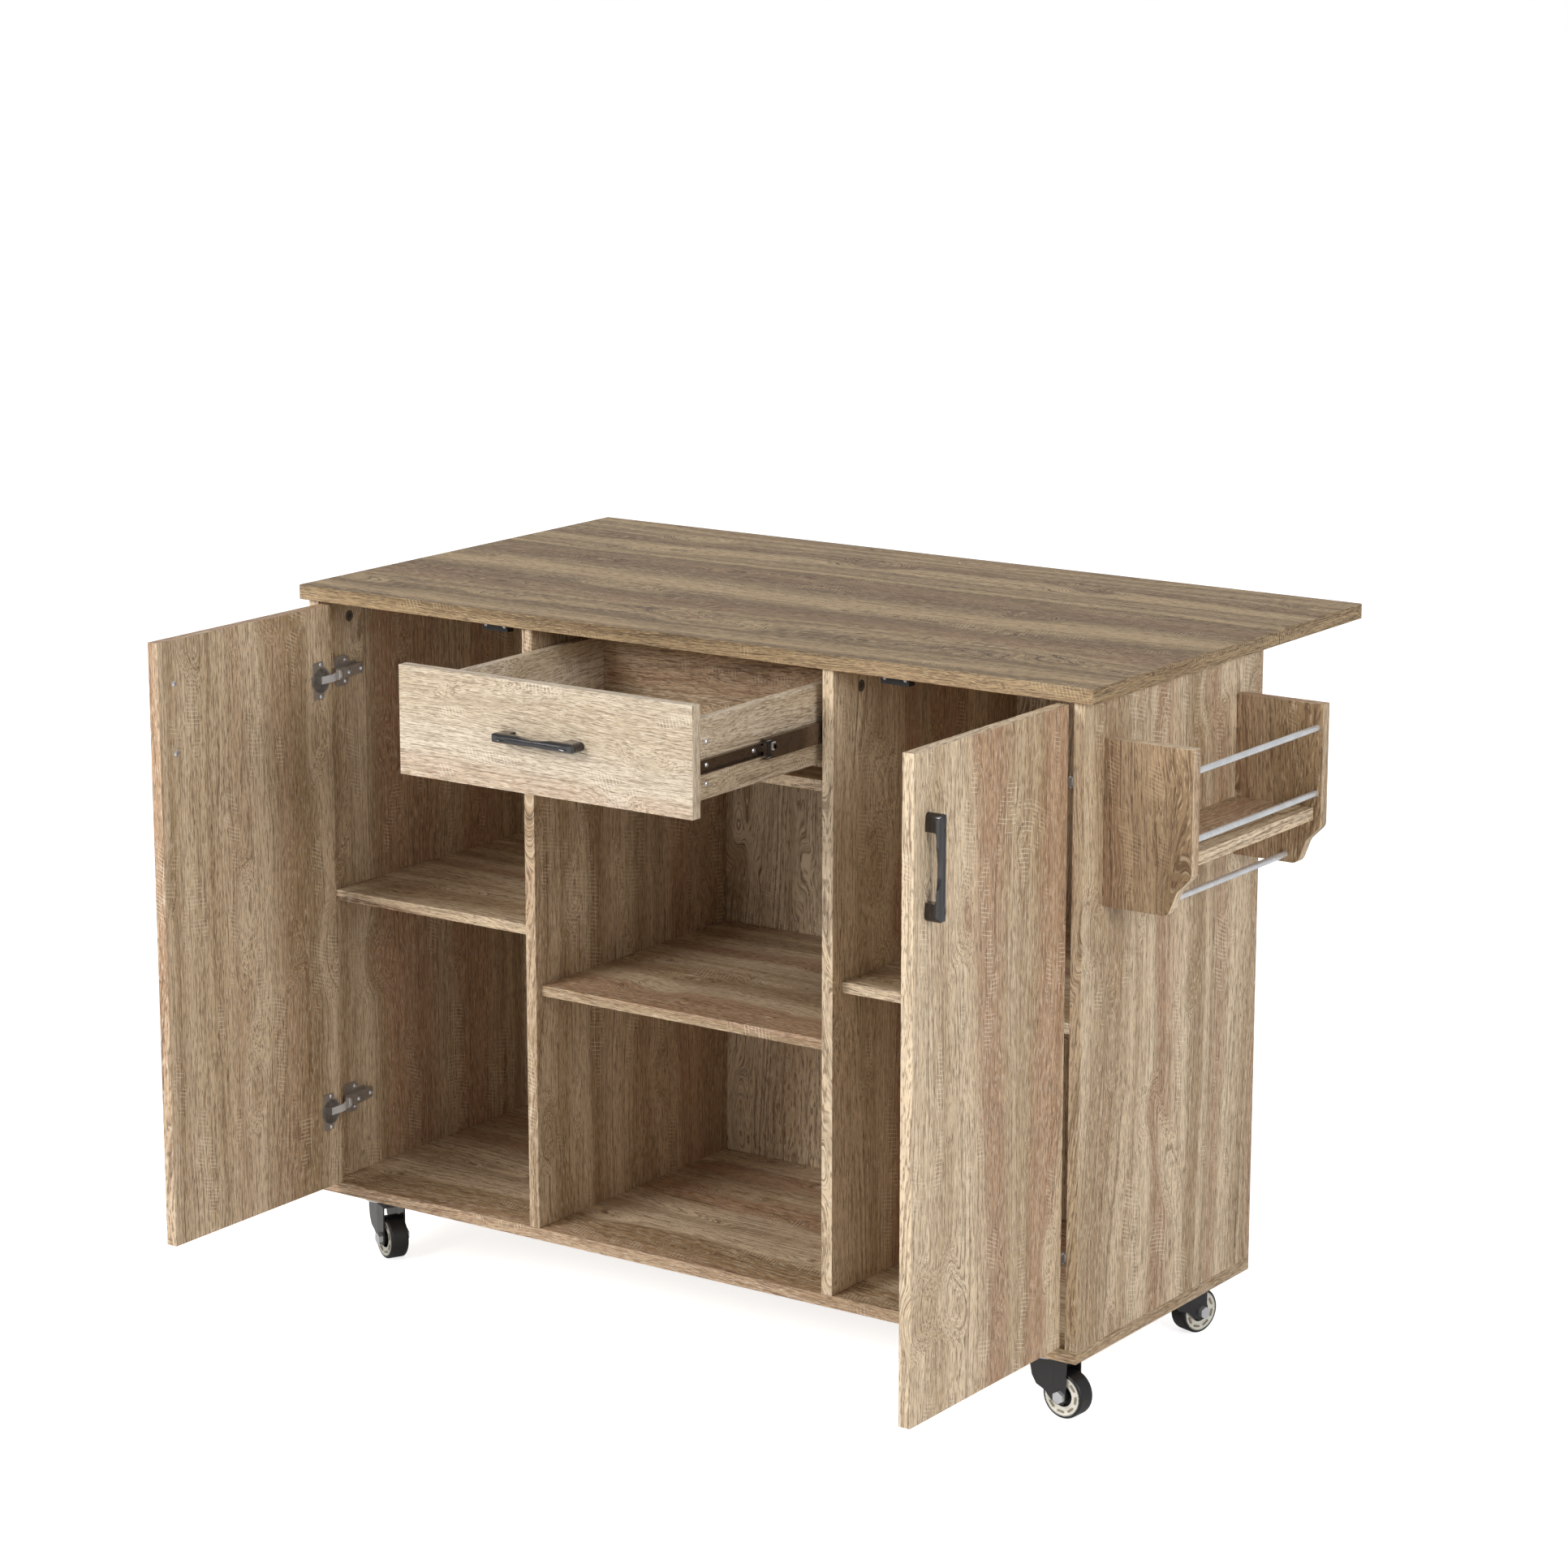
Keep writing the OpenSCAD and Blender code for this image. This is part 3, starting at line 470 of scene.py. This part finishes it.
# Drawer: a front from the palest run of the print, and a box of 12 mm sides and back round a thin
# bottom. Two domed screw heads on each side belong to the fittings that draw the front on.
fitting_y = 0.026
fitting_z = (0.018, 0.069)
dome_rise = 0.0014
front_print = oak_print(
    "drawer front print", 13, cream=shade(218, 203, 180), olive=shade(200, 182, 154),
    pink=shade(202, 178, 152), dark=shade(124, 98, 74), light=shade(240, 229, 211))
dress_board("drawer_front", "drawer", along_x, front_print, front_print)
dress_board("drawer_back", "drawer", along_x, body_print, body_print)
dress_board("drawer_bottom", "drawer", along_x, body_print, body_print)
for side, inward in (("left", 1), ("right", -1)):
    mesh = finish_node(f"drawer_side_{side}", *front_print, bright_zinc)
    low, high = corners(f"drawer_side_{side}")
    outer = low.x if inward > 0 else high.x
    for face in mesh.polygons:
        domed = (face.center.x - outer) * inward < dome_rise
        face.material_index = len(front_print) if domed else along_y
    screws(f"front_fitting_screws_{side}", "drawer", [
        (outer, low.y + fitting_y, low.z + z) for z in fitting_z
    ], (-inward, 0, 0), radius=0.0035, rise=0.001)


# Drawer slides: three nested channels a side, rolled from steel and plated dark nickel or dark
# bronze, running on two rows of balls in their cages. Flat screws hold the outer and the inner
# one, and the middle one ends in a black moulded clip and a bright pressed lever.
slide_web_t = 0.0012
slide_head_gap = 0.0003
clip_t = 0.0013
clip_y = 0.0003
clip_round = 0.0003
dark_bronze = plain_finish("dark bronze plating", shade(124, 109, 96), roughness=0.28, metallic=0.85)
for name in ("slide_middle", "slide_inner"):
    finish_node(name, dark_bronze)
finish_node("slide_outer", dark_nickel)
for name in ("slide_balls_outer", "slide_balls_inner"):
    finish_node(name, bright_zinc)
# each bar from and to along the slide, from and to up it, and 0 for plastic or 1 for steel
clip_bars = {
    "upper pad": ((0.0, 0.009), (0.0062, 0.0098), 0),
    "lower pad": ((0.0, 0.009), (-0.0098, -0.0062), 0),
    "bridge": ((0.0025, 0.0065), (-0.0066, 0.0066), 0),
    "upper strip": ((0.0008, 0.0082), (0.0098, 0.0108), 1),
    "lower strip": ((0.0008, 0.0082), (-0.0108, -0.0098), 1),
    "lever post": ((0.0108, 0.0128), (-0.003, 0.0075), 1),
    "lever finger": ((0.0124, 0.0185), (0.0052, 0.0075), 1),
    "lever foot": ((0.0124, 0.016), (-0.003, -0.001), 1),
}
clips = bmesh.new()
low, high = corners("slide_middle")
for web, outward in ((low.x, -1), (high.x, 1)):
    for along, up, finish in clip_bars.values():
        made = bmesh.ops.create_cube(clips)["verts"]
        for vert in made:
            vert.co = Vector((
                web + outward * (clip_t if vert.co.x > 0 else 0),
                low.y + clip_y + along[vert.co.y > 0],
                (low.z + high.z) / 2 + up[vert.co.z > 0]))
        for face in {face for vert in made for face in vert.link_faces}:
            face.material_index = finish
bmesh.ops.recalc_face_normals(clips, faces=clips.faces)
bmesh.ops.bevel(
    clips, geom=clips.edges, offset=clip_round, segments=2, profile=0.5, affect="EDGES")
mesh = bpy.data.meshes.new("slide_clips")
clips.to_mesh(mesh)
clips.free()
mesh.materials.append(black_plastic)
mesh.materials.append(bright_steel)
new_piece("slide_clips", mesh, "slide_middles")
for name, body, rows in (("slide_inner", "drawer", (0.024, 0.12, 0.248, 0.33)),
                         ("slide_outer", "cabinet", (0.03, 0.165, 0.3))):
    low, high = corners(name)
    level = (low.z + high.z) / 2
    for side, inward in (("left", 1), ("right", -1)):
        if name == "slide_outer":
            x = low.x + slide_web_t if inward > 0 else high.x - slide_web_t
            facing = inward
        else:
            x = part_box(f"drawer_side_{side}")[0 if inward > 0 else 1][0] + inward * slide_head_gap
            facing = -inward
        screws(f"{name}_screws_{side}", body, [(x, low.y + y, level) for y in rows],
               (facing, 0, 0), radius=0.0032, rise=0.001)


# Rack: two shaped boards and a shelf between them, dowelled to the right side board, with two
# guard rods and a towel bar of satin aluminium let into the boards.
rack_print = oak_print(
    "rack print", 10, cream=shade(190, 162, 129), olive=shade(156, 129, 96), pink=shade(162, 127, 97),
    dark=shade(86, 62, 42), light=shade(214, 191, 158))
dress_board("rack_side_front", "cabinet", along_z, rack_print, body_print)
dress_board("rack_side_back", "cabinet", along_z, rack_print, body_print)
dress_board("rack_shelf", "cabinet", along_y, body_print, body_print)
satin_rod = plain_finish(
    "satin rod", shade(238, 240, 243), roughness=0.27, metallic=0.6, grit=800, relief=0.02)
finish_node("rack_rods", satin_rod)


# Leaf hinges and folding brackets: three dark bronze knuckle hinges under the seam and two black
# enamelled folding brackets, pressed from 1.5 mm sheet and screwed to the underside of the leaf,
# the worktop and the back of the body.
sheet = 0.0015
half_seam = 0.0005
leaf_hinge_half = 0.03
leaf_hinge_screw_x = 0.02
leaf_wing_y = 0.018
body_wing_y = 0.008
leg_middle_share = 0.6
arm_middle_share = 0.55
fold_pin_half = 0.012
fold_pin_z = 0.0034
leg_gap = 0.006
leg_screw_ends = (0.03, 0.019)
arm_screw_ends = (0.04, 0.025)
black_enamel = plain_finish(
    "black enamel", shade(26, 26, 28), roughness=0.34, metallic=0.0, grit=500, relief=0.1, coat=0.4)
finish_node("leaf_hinges_fixed", dark_bronze)
finish_node("leaf_hinges_moving", dark_bronze)
for name in ("bracket_legs", "bracket_arms", "brace_left", "brace_right"):
    finish_node(name, black_enamel)
low, high = corners("leaf_hinges_moving")
hinge_x = (low.x + leaf_hinge_half, (low.x + high.x) / 2, high.x - leaf_hinge_half)
under = high.z - sheet
seam_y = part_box("drop_leaf")[0][1] - half_seam
body_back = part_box("side_left")[1][1]
for name, body, wing_y in (("leaf_hinge_screws_moving", "leaf", seam_y + leaf_wing_y),
                           ("leaf_hinge_screws_fixed", "cabinet", body_back + body_wing_y)):
    screws(name, body, [
        (x + s * leaf_hinge_screw_x, wing_y, under) for x in hinge_x for s in (-1, 1)
    ], (0, 0, -1), radius=0.0034, rise=0.0014)
low, high = corners("bracket_legs")
leg_x = (low.x + fold_pin_half, high.x - fold_pin_half)
pin_z = high.z - fold_pin_z
leg_length = pin_z - leg_gap - low.z
screws("bracket_leg_screws", "cabinet", [
    (x, body_back + sheet, pin_z - z) for x in leg_x
    for z in (leg_screw_ends[0], leg_length * leg_middle_share, leg_length - leg_screw_ends[1])
], (0, 1, 0), radius=0.0038, rise=0.0006)
low, high = corners("bracket_arms")
arm_length = high.y - seam_y
screws("bracket_arm_screws", "leaf", [
    (x, seam_y + y, high.z - sheet) for x in leg_x
    for y in (arm_screw_ends[0], arm_length * arm_middle_share, arm_length - arm_screw_ends[1])
], (0, 0, -1), radius=0.0038, rise=0.0018)


# Casters: a zinc-plated plate and dished race on four screws, a black pressed fork, and a black
# tread on a cream moulded hub with a ring of short slots round its dark core. The slots are thin
# flat inlays in painted shade, a darker cream standing in for the shade inside the openings.
core_radius = 0.0141
hub_radius = 0.0251
slot_radius = 0.0200
slot_count = 8
slot_size = (0.0024, 0.0095, 0.0005)
fork_half = 0.0163
caster_plate_t = 0.0025
plate_screw_in = 0.019
tyre_rubber = plain_finish("tyre rubber", shade(26, 26, 27), roughness=0.42, metallic=0.0)
hub_plastic = plain_finish(
    "cream hub plastic", shade(232, 228, 214), roughness=0.4, metallic=0.0, grit=200, relief=0.1)
hub_core = plain_finish("black hub core", shade(24, 24, 24), roughness=0.5, metallic=0.0)
# painted shade: a darker cream for the shade inside the hub's slot openings
painted_slot_shade = plain_finish("painted shade in hub slots", shade(142, 132, 116), roughness=0.5, metallic=0.0)
finish_node("caster_plates", bright_zinc)
plates_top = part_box("caster_plates")[1][2]
joints = {joint["name"]: joint for joint in frame["joints"]}


def slot_tree():
    """A ring of short slots at each place, square to the axle, as thin flat inlays of painted shade."""
    tree = bpy.data.node_groups.new("painted slot shades", "GeometryNodeTree")
    for name, kind in (("Places", "Geometry"), ("Radius", "Float"), ("Count", "Int"),
                       ("Size", "Vector"), ("Facing", "Vector"), ("Finish", "Material")):
        tree.interface.new_socket(name, in_out="INPUT", socket_type=f"NodeSocket{kind}")
    tree.interface.new_socket("Slots", in_out="OUTPUT", socket_type="NodeSocketGeometry")
    start = Wire(tree)
    given = tree.nodes.new("NodeGroupInput")
    places, radius, count, size, facing, finish = (Wire(tree, given.outputs[n]) for n in range(6))
    ring = start.node("GeometryNodeMeshCircle", (), {"Vertices": count, "Radius": radius})
    spot = start.node("GeometryNodeInputPosition")
    outward = start.node("FunctionNodeAlignRotationToVector", {"axis": "X"}, {"Vector": spot})
    slot = start.node("GeometryNodeMeshCube", (), {"Size": size})
    slots = start.node("GeometryNodeInstanceOnPoints", (), {
        "Points": ring, "Instance": slot, "Rotation": outward})
    slots = start.node("GeometryNodeRealizeInstances", (), {"Geometry": slots})
    aim = start.node("FunctionNodeAlignRotationToVector", {"axis": "Z"}, {"Vector": facing})
    spread = start.node("GeometryNodeInstanceOnPoints", (), {
        "Points": places, "Instance": slots, "Rotation": aim})
    real = start.node("GeometryNodeRealizeInstances", (), {"Geometry": spread})
    real = start.node("GeometryNodeSetMaterial", (), {"Geometry": real, "Material": finish})
    start.node("NodeGroupOutput", (), {0: real})
    return tree


painted_slot_shades = slot_tree()
for corner in ("fl", "fr", "bl", "br"):
    centre = Vector(joints[f"roll_{corner}"]["pos_m"])
    axle = Vector(joints[f"roll_{corner}"]["axis"])
    mesh = finish_node(f"caster_wheel_{corner}", tyre_rubber, hub_plastic, hub_core)
    disc = 0.0
    for face in mesh.polygons:
        out = face.center - centre
        reach = (out - axle * out.dot(axle)).length
        face.material_index = 2 if reach < core_radius else int(reach < hub_radius)
        if core_radius < reach < hub_radius:
            disc = max(disc, abs(out.dot(axle)))
    # the slots are painted shade laid on the hub face, not cut openings
    scatter(f"painted_slot_shades_{corner}", f"wheel_{corner}", "caster_wheel", painted_slot_shades,
            [centre + axle * disc, centre - axle * disc], radius=slot_radius, count=slot_count,
            size=slot_size, facing=tuple(axle), finish=painted_slot_shade)
    mesh = finish_node(f"caster_yoke_{corner}", black_enamel, bright_zinc)
    for face in mesh.polygons:
        out = face.center - centre
        face.material_index = int(abs(out.dot(axle)) > fork_half)
    pivot = Vector(joints[f"swivel_{corner}"]["pos_m"])
    screws(f"caster_plate_screws_{corner}", "cabinet", [
        (pivot.x + dx, pivot.y + dy, plates_top - caster_plate_t)
        for dx in (-plate_screw_in, plate_screw_in) for dy in (-plate_screw_in, plate_screw_in)
    ], (0, 0, -1), radius=0.004, rise=0.0016)


# Studio: a pale floor that fades to white, a large soft lamp in front on the left, a weaker one
# in front on the right, and an even white room that the camera sees at full white.
floor_size = 60
floor_glow = 0.75
room_strength = 0.5
island_middle = (0, 0, 0.5)
floor_material, start = new_material("studio floor")
path = start.node("ShaderNodeLightPath")
floor_skin = start.node("ShaderNodeBsdfDiffuse", (), {"Color": (0.9, 0.9, 0.9, 1)})
glow = start.node("ShaderNodeEmission", (), {"Color": (1, 1, 1, 1), "Strength": floor_glow})
bleached = start.node("ShaderNodeAddShader", (), {0: floor_skin, 1: glow})
seen = path.node("ShaderNodeMixShader", (), {0: path, 1: floor_skin, 2: bleached})
seen.node("ShaderNodeOutputMaterial", (), {"Surface": seen})
bpy.ops.mesh.primitive_plane_add(size=floor_size, location=(0, 0, 0))
floor = bpy.context.object
floor.name = "studio_floor"
floor.data.materials.append(floor_material)

world = bpy.data.worlds.new("white room")
bpy.context.scene.world = world
world.use_nodes = True
world.node_tree.nodes.clear()
room = Wire(world.node_tree)
path = room.node("ShaderNodeLightPath")
ambient = room.node("ShaderNodeBackground", (), {"Color": (1, 1, 1, 1), "Strength": room_strength})
backdrop = room.node("ShaderNodeBackground", (), {"Color": (1, 1, 1, 1), "Strength": 1.0})
room_light = room.node("ShaderNodeMixShader", (), {0: path, 1: ambient, 2: backdrop})
room_light.node("ShaderNodeOutputWorld", (), {"Surface": room_light})


def soft_lamp(name, place, size, watts):
    data = bpy.data.lights.new(name, "AREA")
    data.shape = "SQUARE"
    data.size = size
    data.energy = watts
    lamp = bpy.data.objects.new(name, data)
    lamp.location = place
    lamp.rotation_euler = (Vector(island_middle) - Vector(place)).to_track_quat("-Z", "Y").to_euler()
    bpy.context.collection.objects.link(lamp)


soft_lamp("left lamp", (-2.2, -5.0, 3.4), size=2.5, watts=230)
soft_lamp("right lamp", (4.6, -1.8, 2.4), size=2.0, watts=90)


# Camera: a long lens at 1.92 m, in front and to the right of the island, tipped down a little and
# turned towards it, as in the photograph.
camera_tilt = 77.25
camera_turn = 34.781
camera_data = bpy.data.cameras.new("product camera")
camera_data.lens = 99.54
camera_data.sensor_width = 36
camera = bpy.data.objects.new("product camera", camera_data)
camera.location = (3.0738, -4.4312, 1.9240)
camera.rotation_euler = (math.radians(camera_tilt), 0, math.radians(camera_turn))
bpy.context.collection.objects.link(camera)
bpy.context.scene.camera = camera
bpy.context.scene.view_settings.view_transform = "Standard"
